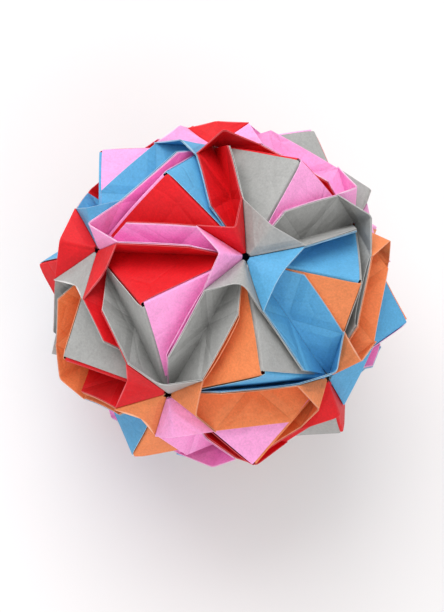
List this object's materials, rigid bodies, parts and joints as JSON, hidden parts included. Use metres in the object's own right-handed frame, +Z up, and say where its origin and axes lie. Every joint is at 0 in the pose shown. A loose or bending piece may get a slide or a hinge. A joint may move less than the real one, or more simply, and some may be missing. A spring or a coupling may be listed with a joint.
{
  "type": "folded paper ball",
  "caption": "Hand-folded modular paper ball: interlocked coloured units make three-sided pyramids, raised double rims and five-pointed flower corners. Stands or hangs.",
  "frame": {"origin": "on the surface the ball rests on, under the middle of the ball, where the five lowest tips touch it", "axes": "+Z up through the five-sided corner that faces the picture's camera; X along the ball's longest extent, Y along its shortest"},
  "size_m": [0.0872, 0.083, 0.0848],
  "materials": {
    "red_paper": "matte, fine fibre grain, coloured on both sides",
    "pink_paper": "matte, fine fibre grain, coloured on both sides",
    "blue_paper": "matte, fine fibre grain, coloured on both sides",
    "grey_paper": "matte, fine fibre grain, coloured on both sides",
    "orange_paper": "matte, fine fibre grain, coloured on both sides"
  },
  "bodies": {
    "root": {"top_unit_1": "pink_paper", "top_unit_2": "grey_paper", "top_unit_3": "blue_paper", "top_unit_4": "grey_paper", "top_unit_5": "red_paper", "upper_unit_1": "red_paper", "upper_unit_2": "orange_paper", "upper_unit_3": "orange_paper", "upper_unit_4": "pink_paper", "upper_unit_5": "blue_paper", "side_unit_01": "red_paper", "side_unit_02": "grey_paper", "side_unit_03": "orange_paper", "side_unit_04": "pink_paper", "side_unit_05": "red_paper", "side_unit_06": "blue_paper", "side_unit_07": "pink_paper", "side_unit_08": "grey_paper", "side_unit_09": "red_paper", "side_unit_10": "pink_paper", "lower_unit_1": "blue_paper", "lower_unit_2": "grey_paper", "lower_unit_3": "orange_paper", "lower_unit_4": "orange_paper", "lower_unit_5": "blue_paper", "bottom_unit_1": "pink_paper", "bottom_unit_2": "orange_paper", "bottom_unit_3": "red_paper", "bottom_unit_4": "blue_paper", "bottom_unit_5": "grey_paper"}
  },
  "joints": []
}
